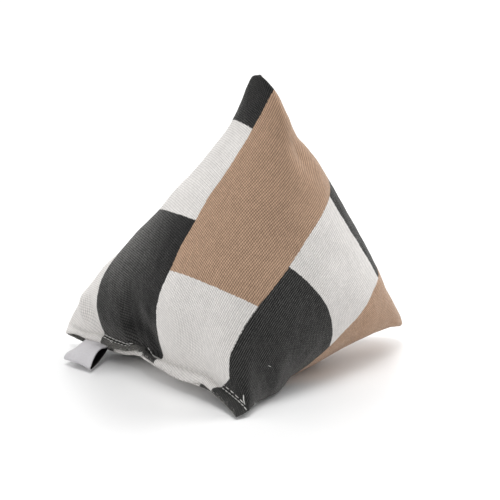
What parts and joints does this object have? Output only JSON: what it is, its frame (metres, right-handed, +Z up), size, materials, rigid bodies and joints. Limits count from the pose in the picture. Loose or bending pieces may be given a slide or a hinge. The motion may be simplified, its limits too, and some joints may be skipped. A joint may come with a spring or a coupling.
{
  "type": "pyramid cushion",
  "caption": "Small pyramid cushion of printed woven cloth, filled, with a topstitched hem and a folded ribbon label.",
  "frame": {"origin": "middle of the flat patch under the cushion, on the surface it stands on", "axes": "+Z up, +X to the right and +Y to the back as seen from the front, where the topstitched seam runs from the left corner at the back to the front corner"},
  "size_m": [0.1831, 0.1433, 0.1573],
  "materials": {
    "printed_cloth": "plain woven cotton printed in blocks of off-white, tan and charcoal, matt with a slight fuzz",
    "label_ribbon": "off-white satin ribbon, soft sheen, blank"
  },
  "bodies": {
    "root": {"cushion_body": "printed_cloth", "label_loop": "label_ribbon"}
  },
  "joints": []
}
